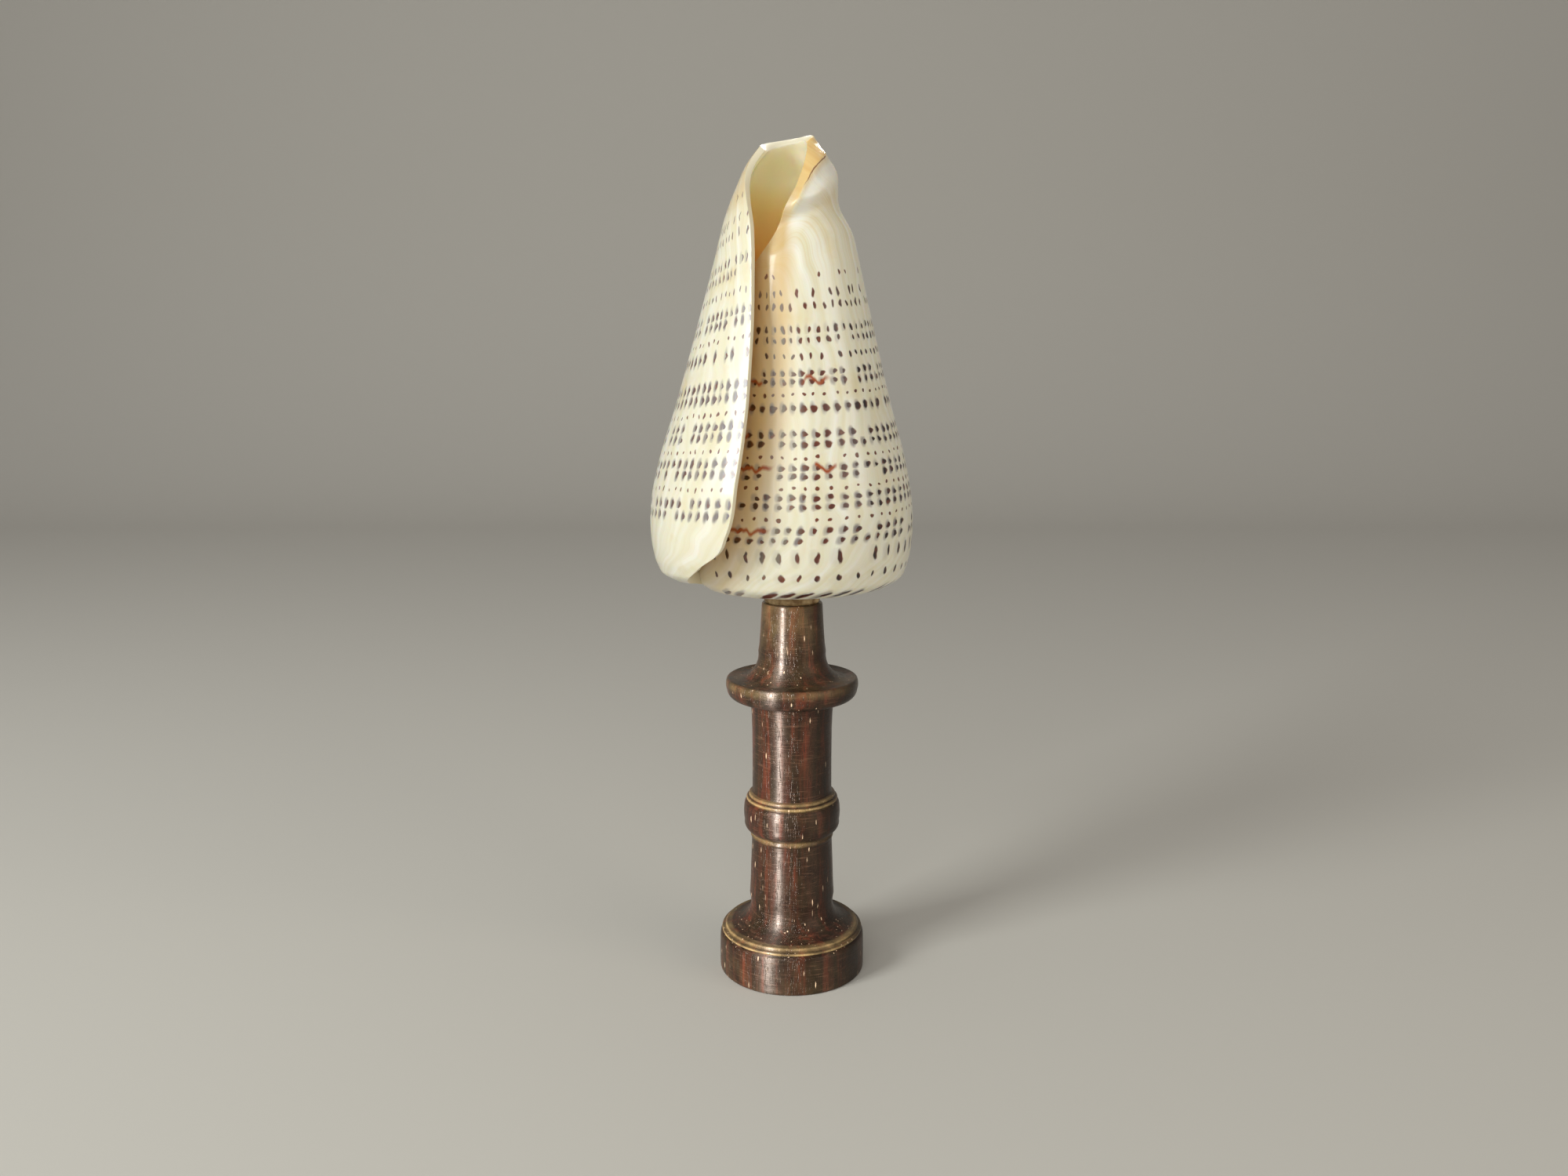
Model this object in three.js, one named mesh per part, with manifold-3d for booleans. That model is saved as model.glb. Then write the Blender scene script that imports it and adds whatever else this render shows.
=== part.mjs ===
// A cone shell on a turned hardwood stand, in millimetres, +Z up.
//
// The shell stands on its flat spire with its narrow front end up. It is one rolled sheet: a tall profile,
// spire ramp and shoulder and tapering side, that turns round the axis and shrinks a little with every turn.
// The stand is one turned billet: foot, column with a bead, flange and tapering neck. A bed of mounting wax
// fills the gap between the neck and the spire. The origin is the centre of the foot's underside.

import * as THREE from "three";
import { mergeVertices } from "three/addons/utils/BufferGeometryUtils.js";
import Module from "manifold-3d";

const wasm = await Module();
wasm.setup();

// Driving dimensions
const SPIRE_PLANE_Z = 104.5; // height of the shell's shoulder above the table
const SHELL_LENGTH = 110.5; // shoulder to the highest point of the front end
const SUTURE_SWING = 18; // how much further back, in degrees, the lip meets the turn before it
const GROWTH_PER_TURN = 1.36; // how much wider each turn is than the one before
const LIP_ANGLE = 249; // direction of the outer lip, in degrees from +X towards +Y
const WALL = 2.2; // the shell's wall on the last turn
const LIP_WALL = 1.5; // the same at the edge of the outer lip
const INNER_WALL = 1.3; // the same on the hidden earlier turns
const PILLAR_WALL = 3.0; // the same where the sheet ends in the twisted pillar
const THINNEST_WALL = 0.8; // the same at the front edge of the pillar's worn end
const END_FACE_WIDTH = 3.3; // width of that worn end face
const END_FACE_DEPTH = 2.1; // how far it slopes in over its width
const FOOT_RADIUS = 19.2;
const FLANGE_RADIUS = 17.2;
const COLUMN_RADIUS = 10.4;
const BEAD_RADIUS = 12.7;
const NECK_TOP_RADIUS = 7.8;
const NECK_TOP_Z = 99.4;
const GAP = 0.3; // clearance between touching pieces

const radians = THREE.MathUtils.degToRad;
const { clamp, lerp, smoothstep } = THREE.MathUtils;

// A smooth curve through [position, value] pairs, held at its end values outside them.
function curveThrough(pairs) {
  const positions = pairs.map(([position]) => position);
  const values = pairs.map(([, value]) => value);
  const cubic = new THREE.CubicInterpolant(positions, values, 1, new Float32Array(1));
  const last = positions[positions.length - 1];
  return (x) => cubic.evaluate(clamp(x, positions[0], last))[0];
}

// ---------------------------------------------------------------- the shell

// Outer radius at the lip against height above the shoulder plane: rounded shoulder, belly, then a straight
// taper that rounds in at the front end.
const sideRadius = curveThrough([
  [0, 31.6],
  [1.4, 34.4],
  [4, 36.2],
  [8, 37.4],
  [13, 38],
  [21, 37.6],
  [30, 35.6],
  [45, 30.6],
  [65, 24.6],
  [80, 20.3],
  [90, 17.5],
  [97, 14.6],
  [103, 11.5],
  [107, 8.2],
  [110.5, 5.2],
]);

// How far the lip's edge, and every growth line behind it, leans back from LIP_ANGLE at each height.
const lipSetback = curveThrough([
  [0, 34],
  [2.5, 24],
  [5.5, 16],
  [8.6, 8],
  [13.6, 3.5],
  [28.6, 0],
  [57, 0.5],
  [67, 2],
  [77, 5],
  [86, 9],
  [92.5, 14],
  [98, 24],
  [104.4, 41],
  [110.5, 52],
]);

// Height of the sheet's free front edge against the angle back from LIP_ANGLE: almost level round the last
// turn, then a steep twist down into the shell.
const frontEdge = curveThrough([
  [0, 105],
  [41, 106.2],
  [100, 108.2],
  [159, 109.4],
  [200, 109.8],
  [225, 109.7],
  [249, 109.1],
  [280, 107.6],
  [300, 105.5],
  [314, 103],
  [332, 97.5],
  [345, 92.5],
  [356, 87],
  [370, 81],
  [400, 73],
  [460, 66],
  [540, 59],
  [720, 50],
]);

const growth = (back) => GROWTH_PER_TURN ** (-back / 360);

// Height of the shoulder at each angle: the last turn lifts towards the lip, and the spire's tip hangs lowest.
const shoulderZ = curveThrough([
  [0, 3.8],
  [30, 2.8],
  [69, 1.2],
  [120, 0.7],
  [249, 0.5],
  [338, -0.2],
  [460, -0.5],
  [1100, -1.6],
  [2000, -2.6],
  [3000, -3.2],
]);

// A raised band and the waist below it, which wind round the right side of the front end.
function frontRelief(back, z) {
  const strength = smoothstep(back, 130, 240) * (1 - smoothstep(back, 380, 440));
  const bandZ = 101 - 0.1 * (back - 249);
  const waistZ = 92.5 - 0.045 * (back - 249);
  const band = lerp(0.5, 1.3, smoothstep(back, 270, 335)) * Math.exp(-(((z - bandZ) / 2.2) ** 2));
  const waist = 1.9 * Math.exp(-(((z - waistZ) / 4.6) ** 2));
  return strength * (band - waist);
}

// How far the outer face slopes in to the pillar's worn end, with a low ridge along the border of that face.
function endFace(back, belowTop) {
  const strength = smoothstep(back, 246, 285) * (1 - smoothstep(back, 330, 344));
  const slope = END_FACE_DEPTH * Math.max(0, 1 - belowTop / END_FACE_WIDTH);
  const ridge = 0.7 * Math.exp(-(((belowTop - END_FACE_WIDTH) / 2.5) ** 2));
  return strength * (slope - ridge);
}

// The sheet's rows: the suture and the spire ramp first, then these shares of the way up the side.
const RAMP_ROWS = 3;
const SIDE_SHARES = [
  0, 0.01, 0.03, 0.06, 0.1, 0.16, 0.24, 0.33, 0.43, 0.53, 0.63, 0.72, 0.79, 0.85, 0.9, 0.935, 0.965, 0.985, 1,
];
const ROWS = RAMP_ROWS + SIDE_SHARES.length;

function sideShare(row) {
  const below = Math.min(Math.floor(row - RAMP_ROWS), SIDE_SHARES.length - 2);
  return lerp(SIDE_SHARES[below], SIDE_SHARES[below + 1], row - RAMP_ROWS - below);
}

// The outer face of the sheet: row 0 is the suture, the next rows cross the flat spire ramp to the shoulder,
// and the rest climb the side. `turned` is the growth angle back from the lip, along the growth lines.
function sheetPoint(turned, row, target = new THREE.Vector3()) {
  let radius, z, back;
  if (row < RAMP_ROWS) {
    const across = row / RAMP_ROWS;
    back = turned + lipSetback(0) + SUTURE_SWING * (1 - across);
    const shoulder = sideRadius(0) * growth(back);
    const suture = shoulder / GROWTH_PER_TURN - 0.4;
    radius = lerp(suture, shoulder, across);
    z = lerp(shoulderZ(back + 360) + 0.6, shoulderZ(back), across) + 0.3 * Math.sin(Math.PI * across);
  } else {
    const share = sideShare(row);
    const fullHeight = share * SHELL_LENGTH;
    back = turned + lipSetback(fullHeight);
    const height = share * frontEdge(back);
    const nested = smoothstep(back, 390, 520);
    radius = growth(back) * sideRadius(lerp(height, fullHeight, nested)) + frontRelief(back, height);
    radius -= endFace(back, frontEdge(back) - height);
    z = height + shoulderZ(back) * (1 - share);
  }
  const angle = radians(LIP_ANGLE - back);
  return target.set(radius * Math.cos(angle), radius * Math.sin(angle), z);
}

// Wall thickness: thin at the lip and on the earlier turns, thick where the sheet ends as the pillar, and
// thinning again across the worn end face.
function wallAt(turned, row) {
  const nearLip = lerp(LIP_WALL, WALL, smoothstep(turned, 0, 14));
  const high = smoothstep(row, ROWS - 8, ROWS - 1);
  const pillar = high * smoothstep(turned, 180, 250) * (1 - smoothstep(turned, 330, 400));
  const earlier = smoothstep(turned, 300, 420);
  const full = lerp(lerp(nearLip, INNER_WALL, earlier), PILLAR_WALL, pillar);
  if (row < RAMP_ROWS) return full;
  const share = sideShare(row);
  const back = turned + lipSetback(share * SHELL_LENGTH);
  return Math.max(THINNEST_WALL, full - Math.max(0, endFace(back, frontEdge(back) * (1 - share))));
}

const NUDGE = 0.02; // step for finding the sheet's slope

function sheetNormal(turned, row) {
  const alongGrowth = sheetPoint(turned + NUDGE, row).sub(sheetPoint(turned - NUDGE, row));
  const low = Math.max(row - NUDGE, row < RAMP_ROWS ? 0 : RAMP_ROWS);
  const high = Math.min(row + NUDGE, row < RAMP_ROWS ? RAMP_ROWS - 1e-6 : ROWS - 1);
  const upSide = sheetPoint(turned, high).sub(sheetPoint(turned, low));
  return upSide.cross(alongGrowth).normalize();
}

// A closed solid from a grid of points whose rows form loops: `loops` holds one loop for each step.
function solidFromLoops(loops) {
  const perLoop = loops[0].length;
  const positions = loops.flat().flatMap((p) => [p.x, p.y, p.z]);
  const index = [];
  for (let i = 0; i + 1 < loops.length; i++)
    for (let j = 0; j < perLoop; j++) {
      const k = (j + 1) % perLoop;
      const [a, b, c, d] = [i * perLoop + j, i * perLoop + k, (i + 1) * perLoop + k, (i + 1) * perLoop + j];
      index.push(a, b, c, a, c, d);
    }
  // Each end of the loops is closed by a ladder between its outer and its inner half.
  const half = perLoop / 2;
  const end = (loops.length - 1) * perLoop;
  for (let j = 0; j + 1 < half; j++) {
    const [outer, nextOuter, nextInner, inner] = [j, j + 1, perLoop - 2 - j, perLoop - 1 - j];
    index.push(outer, nextInner, nextOuter, outer, inner, nextInner);
    index.push(end + outer, end + nextOuter, end + nextInner, end + outer, end + nextInner, end + inner);
  }
  const geometry = new THREE.BufferGeometry();
  geometry.setAttribute("position", new THREE.Float32BufferAttribute(positions, 3));
  geometry.setIndex(index);
  return toManifold(geometry);
}

function toManifold(geometry) {
  const bare = geometry.clone();
  bare.deleteAttribute("normal");
  bare.deleteAttribute("uv");
  const merged = mergeVertices(bare, 1e-4);
  const made = new wasm.Manifold(
    new wasm.Mesh({
      numProp: 3,
      vertProperties: new Float32Array(merged.attributes.position.array),
      triVerts: new Uint32Array(merged.index.array),
    }),
  );
  if (made.volume() > 0) return made;
  const { array } = merged.index;
  for (let i = 0; i < array.length; i += 3) [array[i], array[i + 1]] = [array[i + 1], array[i]];
  return toManifold(merged);
}

function toGeometry(solid) {
  const mesh = solid.getMesh();
  const geometry = new THREE.BufferGeometry();
  geometry.setAttribute("position", new THREE.BufferAttribute(mesh.vertProperties, 3));
  geometry.setIndex(new THREE.BufferAttribute(mesh.triVerts, 1));
  geometry.computeVertexNormals();
  return geometry;
}

// One stretch of the sheet as a solid, from the suture to row `last`.
function sheetStretch(from, to, step, last) {
  const loops = [];
  for (let turned = from; turned <= to; turned += step) {
    const outer = [];
    const inner = [];
    for (let row = 0; row <= last; row++) {
      const point = sheetPoint(turned, row);
      outer.push(point);
      inner.unshift(point.clone().addScaledVector(sheetNormal(turned, row), -wallAt(turned, row)));
    }
    loops.push([...outer, ...inner]);
  }
  return solidFromLoops(loops);
}

// The whole shell: two stretches of the full sheet, then the earlier turns, of which only the spire ramp and
// the foot of the side are kept, and one solid floor behind the small first whorls.
function shellGeometry() {
  const STEP = 12;
  const SPIRE_STEP = 30;
  const FULL_END = 504;
  const SPIRE_END = 1700;
  let shell = sheetStretch(0, 240, STEP, ROWS - 1);
  shell = shell.add(sheetStretch(240 - STEP, FULL_END, STEP, ROWS - 1));
  for (let from = FULL_END - SPIRE_STEP; from < SPIRE_END; from += 300)
    shell = shell.add(sheetStretch(from, from + 300 + SPIRE_STEP, SPIRE_STEP, RAMP_ROWS + 1));
  const floor = latheSolid(
    [
      [0, shoulderZ(3000)],
      [sideRadius(0) * growth(SPIRE_END - 330), shoulderZ(SPIRE_END) + 0.3],
      [sideRadius(0) * growth(1100), shoulderZ(1100) + 0.7],
      [sideRadius(0) * growth(1080), shoulderZ(1100) + 2.4],
      [0, shoulderZ(SPIRE_END) + 3],
    ],
    32,
  );
  // Turns pressed together can trap slivers of air, so only the outer surface is kept.
  const surfaces = shell.add(floor).decompose();
  surfaces.sort((a, b) => b.volume() - a.volume());
  return toGeometry(surfaces[0]);
}

// ---------------------------------------------------------------- the stand and the wax

// A solid turned on the lathe from an outline of [radius, height] points that starts and ends on the axis.
// LatheGeometry turns its profile round Y, so the result is tipped up to turn round Z.
function latheSolid(outline, segments) {
  const profile = outline.map(([radius, height]) => new THREE.Vector2(radius, height));
  return toManifold(new THREE.LatheGeometry(profile, segments).rotateX(Math.PI / 2));
}

// Points on an arc that swells or hollows between two outline points; `bulge` is its height over the chord.
function arc([r0, z0], [r1, z1], bulge, count) {
  const points = [];
  const chord = Math.hypot(r1 - r0, z1 - z0);
  const [outR, outZ] = [(z1 - z0) / chord, (r0 - r1) / chord];
  for (let i = 0; i <= count; i++) {
    const share = i / count;
    const rise = 4 * bulge * share * (1 - share);
    points.push([lerp(r0, r1, share) + outR * rise, lerp(z0, z1, share) + outZ * rise]);
  }
  return points;
}

function standOutline() {
  const foot = [
    [0, 0],
    [FOOT_RADIUS - 0.4, 0],
    [FOOT_RADIUS, 0.5],
    [FOOT_RADIUS, 9],
    [FOOT_RADIUS - 0.3, 10],
    [FOOT_RADIUS - 0.9, 10.5],
    ...arc([FOOT_RADIUS - 0.6, 10.6], [FOOT_RADIUS - 1.2, 11.5], 0.3, 2),
    ...arc([FOOT_RADIUS - 1.5, 11.6], [FOOT_RADIUS - 2.3, 12.3], 0.25, 2),
  ];
  const cove = arc([FOOT_RADIUS - 2.9, 12.4], [COLUMN_RADIUS + 0.8, 20.5], -2.4, 5);
  const bead = [
    [COLUMN_RADIUS + 0.3, 36.6],
    [COLUMN_RADIUS + 0.5, 37.3],
    [COLUMN_RADIUS + 0.3, 37.9],
    [COLUMN_RADIUS + 0.9, 38.4],
    [BEAD_RADIUS - 0.6, 39.5],
    [BEAD_RADIUS - 0.1, 41],
    [BEAD_RADIUS, 43.2],
    [BEAD_RADIUS - 0.15, 45.4],
    [BEAD_RADIUS - 0.9, 46.7],
    ...arc([BEAD_RADIUS - 0.8, 46.9], [BEAD_RADIUS - 1.3, 47.9], 0.2, 2),
    ...arc([BEAD_RADIUS - 1.5, 48.1], [COLUMN_RADIUS + 0.2, 49.1], 0.2, 2),
  ];
  const upperColumn = [
    [COLUMN_RADIUS, 49.5],
    [COLUMN_RADIUS + 0.1, 69],
    [COLUMN_RADIUS + 0.4, 72],
    [COLUMN_RADIUS + 1, 73.9],
  ];
  const flange = [
    [FLANGE_RADIUS - 2.2, 74.2],
    [FLANGE_RADIUS - 0.9, 75],
    [FLANGE_RADIUS - 0.2, 76.3],
    [FLANGE_RADIUS, 77.8],
    [FLANGE_RADIUS - 0.2, 79.1],
    [FLANGE_RADIUS - 0.8, 79.6],
    [FLANGE_RADIUS - 2.2, 79.6],
    [COLUMN_RADIUS + 1.6, 80.1],
  ];
  const neck = [
    ...arc([COLUMN_RADIUS + 0.5, 80.7], [NECK_TOP_RADIUS + 0.7, 88], -0.8, 4),
    [NECK_TOP_RADIUS + 0.3, 93],
    [NECK_TOP_RADIUS, NECK_TOP_Z - 0.5],
    [NECK_TOP_RADIUS - 0.5, NECK_TOP_Z],
    [0, NECK_TOP_Z],
  ];
  return [...foot, ...cove, ...bead, ...upperColumn, ...flange, ...neck];
}

// The wax lies on the neck's end, and its dished top follows the low cone of the spire.
function waxOutline() {
  const bottom = NECK_TOP_Z + GAP;
  const tip = SPIRE_PLANE_Z + shoulderZ(3000) - GAP;
  return [
    [0, bottom],
    [NECK_TOP_RADIUS - 0.7, bottom],
    [NECK_TOP_RADIUS - 0.1, bottom + 0.6],
    [NECK_TOP_RADIUS - 0.5, tip + 0.85],
    [NECK_TOP_RADIUS - 1.3, tip + 0.7],
    [0, tip - 0.1],
  ];
}

// ---------------------------------------------------------------- the assembly

function piece(name, geometry, color, roughness) {
  const mesh = new THREE.Mesh(geometry, new THREE.MeshStandardMaterial({ color, roughness, metalness: 0 }));
  mesh.name = name;
  return mesh;
}

const shell = piece("shell", shellGeometry(), 0xebe2c6, 0.3);
shell.position.z = SPIRE_PLANE_Z;

const part = new THREE.Group();
part.add(shell);
part.add(piece("mounting_wax", toGeometry(latheSolid(waxOutline(), 24)), 0xb9a06a, 0.5));
part.add(piece("turned_stand", toGeometry(latheSolid(standOutline(), 36)), 0x3a1a14, 0.35));

export default part;
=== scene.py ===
# A dotted cone shell standing on its spire on an old turned hardwood stand, in metres, +Z up, on the packed
# CAD frame. The pieces come in the order they are put together: stand, wax, shell, then floor, light, camera.

import math

import bmesh
import bpy
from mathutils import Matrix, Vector, noise


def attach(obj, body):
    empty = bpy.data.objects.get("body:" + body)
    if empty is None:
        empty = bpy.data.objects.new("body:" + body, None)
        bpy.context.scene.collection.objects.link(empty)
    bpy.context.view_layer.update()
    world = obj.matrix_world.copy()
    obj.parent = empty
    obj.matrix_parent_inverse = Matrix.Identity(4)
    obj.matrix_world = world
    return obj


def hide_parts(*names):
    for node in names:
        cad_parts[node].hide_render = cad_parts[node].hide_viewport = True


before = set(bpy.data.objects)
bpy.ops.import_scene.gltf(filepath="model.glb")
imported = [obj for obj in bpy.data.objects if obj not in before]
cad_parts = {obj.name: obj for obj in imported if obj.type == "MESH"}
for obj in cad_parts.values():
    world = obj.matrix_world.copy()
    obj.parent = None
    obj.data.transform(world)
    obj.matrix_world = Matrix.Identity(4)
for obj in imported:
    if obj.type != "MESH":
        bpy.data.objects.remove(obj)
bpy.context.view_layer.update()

# ---------------------------------------------------------------- the turned stand
# Foot, column, bead, flange and neck, turned between centres from one length of dense dark rosewood, then
# oiled and handled until the proud edges wore pale; their pale colour below is partly that wear and partly a
# painted highlight. The fine rings were cut with the corner of a chisel.

MM = 0.001


def arc(start, end, bulge, count):
    """Points from start to end, swelling outwards by `bulge` millimetres, or hollow where it is negative."""
    (r0, z0), (r1, z1) = start, end
    chord = math.hypot(r1 - r0, z1 - z0)
    out_r, out_z = (z1 - z0) / chord, (r0 - r1) / chord
    points = []
    for i in range(count + 1):
        share = i / count
        rise = 4 * bulge * share * (1 - share)
        points.append((r0 + (r1 - r0) * share + out_r * rise, z0 + (z1 - z0) * share + out_z * rise))
    return points


# The outline from the foot's underside up: radius and height in millimetres.
stand_profile = [
    (0.0, 0.0),
    (8.0, 0.0),
    (18.3, 0.0),
    *arc((18.75, 0.03), (19.15, 0.5), 0.1, 3),
    (19.2, 1.2),
    (19.2, 4.5),
    (19.15, 8.6),
    *arc((19.1, 9.2), (18.45, 10.3), 0.2, 4),
    (18.25, 10.42),
    (18.25, 10.52),
    *arc((18.55, 10.6), (18.1, 11.42), 0.33, 6),
    (17.72, 11.5),
    (17.7, 11.58),
    *arc((17.75, 11.66), (16.95, 12.3), 0.28, 6),
    (16.6, 12.34),
    *arc((16.2, 12.42), (11.2, 20.6), -2.35, 18),
    (11.0, 24.0),
    (10.8, 30.0),
    (10.62, 34.5),
    (10.6, 36.2),
    *arc((10.66, 36.5), (10.7, 37.35), 0.22, 4),
    (10.62, 37.5),
    (10.66, 37.8),
    (10.85, 38.1),
    *arc((11.25, 38.35), (12.45, 41.1), 0.5, 8),
    (12.6, 42.0),
    (12.68, 43.4),
    (12.6, 44.9),
    *arc((12.5, 45.4), (11.95, 46.55), 0.14, 4),
    (11.7, 46.62),
    (11.7, 46.72),
    *arc((11.92, 46.78), (11.55, 47.62), 0.25, 6),
    (11.22, 47.68),
    (11.2, 47.78),
    *arc((11.35, 47.85), (10.85, 48.6), 0.24, 6),
    (10.5, 48.72),
    (10.42, 49.1),
    (10.4, 50.5),
    (10.36, 58.0),
    (10.42, 66.0),
    (10.55, 70.0),
    *arc((10.72, 72.2), (11.5, 74.05), -0.22, 5),
    (12.6, 74.1),
    (14.2, 74.15),
    *arc((15.0, 74.25), (16.95, 76.7), 0.5, 8),
    *arc((17.1, 77.2), (17.1, 78.8), 0.08, 4),
    *arc((17.02, 79.1), (16.2, 79.66), 0.22, 5),
    *arc((15.6, 79.62), (12.6, 79.75), -0.12, 6),
    (12.0, 79.95),
    *arc((11.5, 80.3), (8.75, 86.6), -0.95, 14),
    (8.45, 88.6),
    (8.16, 92.6),
    (7.95, 96.4),
    (7.84, 98.6),
    *arc((7.8, 98.9), (7.35, 99.38), 0.12, 4),
    (6.0, 99.4),
    (0.0, 99.4),
]


def spun_mesh(name, profile, steps):
    """A closed solid turned about Z from (radius, height) points in millimetres, ending on the axis."""
    bm = bmesh.new()
    ring = [bm.verts.new((r * MM, 0, z * MM)) for r, z in profile]
    edges = [bm.edges.new(pair) for pair in zip(ring, ring[1:])]
    bmesh.ops.spin(
        bm,
        geom=ring + edges,
        cent=(0, 0, 0),
        axis=(0, 0, 1),
        angle=2 * math.pi,
        steps=steps,
        use_merge=True,
    )
    bmesh.ops.remove_doubles(bm, verts=bm.verts, dist=1e-6)
    bmesh.ops.recalc_face_normals(bm, faces=bm.faces)
    for face in bm.faces:
        face.smooth = True
    mesh = bpy.data.meshes.new(name)
    bm.to_mesh(mesh)
    bm.free()
    return mesh


def place(name, mesh, *materials):
    """Puts a finished mesh in the scene with its materials. Nothing on this object moves."""
    piece = bpy.data.objects.new(name, mesh)
    bpy.context.collection.objects.link(piece)
    for material in materials:
        mesh.materials.append(material)
    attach(piece, "root")
    return piece


def colour(code):
    """An sRGB hex colour as the linear RGBA that shaders use."""
    channels = [int(code[i : i + 2], 16) / 255 for i in (1, 3, 5)]
    return [c / 12.92 if c <= 0.04045 else ((c + 0.055) / 1.055) ** 2.4 for c in channels] + [1.0]


def grey(level):
    return (level, level, level, 1)


black, white = grey(0), grey(1)


def new_material(name):
    material = bpy.data.materials.new(name)
    material.use_nodes = True
    return material, material.node_tree, material.node_tree.nodes["Principled BSDF"]


def add(tree, kind, sockets=None, stops=None, out=0, **settings):
    """Adds one node: settings are its properties, sockets its values or links, stops a ramp's colours."""
    node = tree.nodes.new("ShaderNode" + kind)
    for key, value in settings.items():
        setattr(node, key, value)
    if stops:
        ramp = node.color_ramp
        while len(ramp.elements) < len(stops):
            ramp.elements.new(1.0)
        for element, (position, shade) in zip(ramp.elements, stops):
            element.position = position
            element.color = shade if isinstance(shade, (list, tuple)) else colour(shade)
    for key, value in (sockets or {}).items():
        if isinstance(value, bpy.types.NodeSocket):
            tree.links.new(value, node.inputs[key])
        else:
            node.inputs[key].default_value = value
    return node.outputs[out]


# Rosewood, turned and oiled: near-black heartwood with red-brown streaks up the grain, open pores and pale
# nicks. Streaks are 1 to 3 mm wide, pores 0.2 mm wide and 3 mm long. The turning marks run round the stand,
# so its shine is drawn out up and down it.
rosewood, tree, wood_shader = new_material("oiled_rosewood")
place_3d = add(tree, "TexCoord", out=3)
along_grain = add(tree, "Mapping", {0: place_3d, 3: (1.0, 1.0, 0.07)})
streaks = add(
    tree,
    "TexNoise",
    {"Vector": along_grain, "Scale": 420.0, "Detail": 4.0, "Roughness": 0.6, "Distortion": 0.6},
)
streak_colour = add(
    tree,
    "ValToRGB",
    {0: streaks},
    stops=[(0.34, "#070302"), (0.46, "#100504"), (0.56, "#200b07"), (0.68, "#3a150d")],
)
pore_place = add(tree, "Mapping", {0: place_3d, 3: (1.0, 1.0, 0.09)})
pores = add(tree, "TexNoise", {"Vector": pore_place, "Scale": 3600.0, "Detail": 1.0})
pore_mask = add(tree, "ValToRGB", {0: pores}, stops=[(0.60, black), (0.68, white)])
nick_place = add(tree, "Mapping", {0: place_3d, 3: (1.0, 1.0, 0.17)})
nicks = add(tree, "TexVoronoi", {"Vector": nick_place, "Scale": 820.0, "Randomness": 1.0}, feature="F1")
nick_spots = add(tree, "ValToRGB", {0: nicks}, stops=[(0.07, grey(0.85)), (0.15, black)])
nick_patches = add(tree, "TexNoise", {"Vector": place_3d, "Scale": 130.0, "Detail": 2.0})
nick_where = add(tree, "ValToRGB", {0: nick_patches}, stops=[(0.42, black), (0.56, white)])
nick_mask = add(tree, "Math", {0: nick_spots, 1: nick_where}, operation="MULTIPLY")
scuff_place = add(tree, "Mapping", {0: place_3d, 2: (0.25, 0.4, 0.3), 3: (0.5, 0.5, 6.0)})
scuffs = add(tree, "TexNoise", {"Vector": scuff_place, "Scale": 520.0, "Detail": 3.0, "Distortion": 0.4})
scuff_mask = add(tree, "ValToRGB", {0: scuffs}, stops=[(0.55, black), (0.72, white)])

# Handling wore the proud rings of the foot and bead, the flange's rim and the neck to a pale golden brown. On
# the ring crests and the flange's rim this pale colour is also a painted highlight. Each pair is a height in
# millimetres and how pale the wood is painted there, from wear and painted highlight. A ramp spans 100 mm.
RAMP_MM = 100.0
worn_and_highlit_levels = [
    (0, 0.04), (10, 0.02), (10.55, 0.02), (10.85, 0.6), (11.3, 0.1), (11.65, 0.1), (11.95, 0.6),
    (12.35, 0.02), (36.5, 0.02), (37.5, 0.2), (39, 0.02), (46.7, 0.02), (47.15, 0.55),
    (47.6, 0.02), (47.9, 0.02), (48.2, 0.45), (48.7, 0.02), (77, 0.02), (78.7, 0.12), (80, 0.03),
    (87, 0.04), (99, 0.1),
]
height = add(tree, "SeparateXYZ", {0: place_3d}, out=2)
height_share = add(tree, "Math", {0: height, 1: 1 / (RAMP_MM * MM)}, operation="MULTIPLY")
worn_and_highlit_stops = [(z / RAMP_MM, grey(level)) for z, level in worn_and_highlit_levels]
wear_and_highlight_by_height = add(tree, "ValToRGB", {0: height_share}, stops=worn_and_highlit_stops)
wear_noise = add(tree, "TexNoise", {"Vector": place_3d, "Scale": 260.0, "Detail": 5.0, "Roughness": 0.65})
wear_patches = add(tree, "ValToRGB", {0: wear_noise}, stops=[(0.35, grey(0.3)), (0.66, white)])
wear_and_highlight = add(tree, "Math", {0: wear_and_highlight_by_height, 1: wear_patches}, operation="MULTIPLY")
with_pores = add(tree, "Mix", {0: pore_mask, 6: streak_colour, 7: colour("#0d0504")}, out=2, data_type="RGBA")
# The pale golden brown is wear, and on the ring crests and the flange's rim also a painted highlight.
worn_and_highlit = add(tree, "Mix", {0: wear_and_highlight, 6: with_pores, 7: colour("#b89b68")}, out=2, data_type="RGBA")
scuff_amount = add(tree, "Math", {0: scuff_mask, 1: 0.1}, operation="MULTIPLY")
scuffed = add(tree, "Mix", {0: scuff_amount, 6: worn_and_highlit, 7: colour("#8a6750")}, out=2, data_type="RGBA")
nicked = add(tree, "Mix", {0: nick_mask, 6: scuffed, 7: colour("#b79c80")}, out=2, data_type="RGBA")
tree.links.new(nicked, wood_shader.inputs["Base Color"])
wood_rough = add(tree, "MapRange", {0: wear_noise, 1: 0.3, 2: 0.7, 3: 0.3, 4: 0.42})
scuff_rough = add(tree, "Math", {0: scuff_mask, 1: 0.15, 2: wood_rough}, operation="MULTIPLY_ADD")
tree.links.new(scuff_rough, wood_shader.inputs["Roughness"])
wood_shader.inputs["Specular IOR Level"].default_value = 0.4
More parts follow.
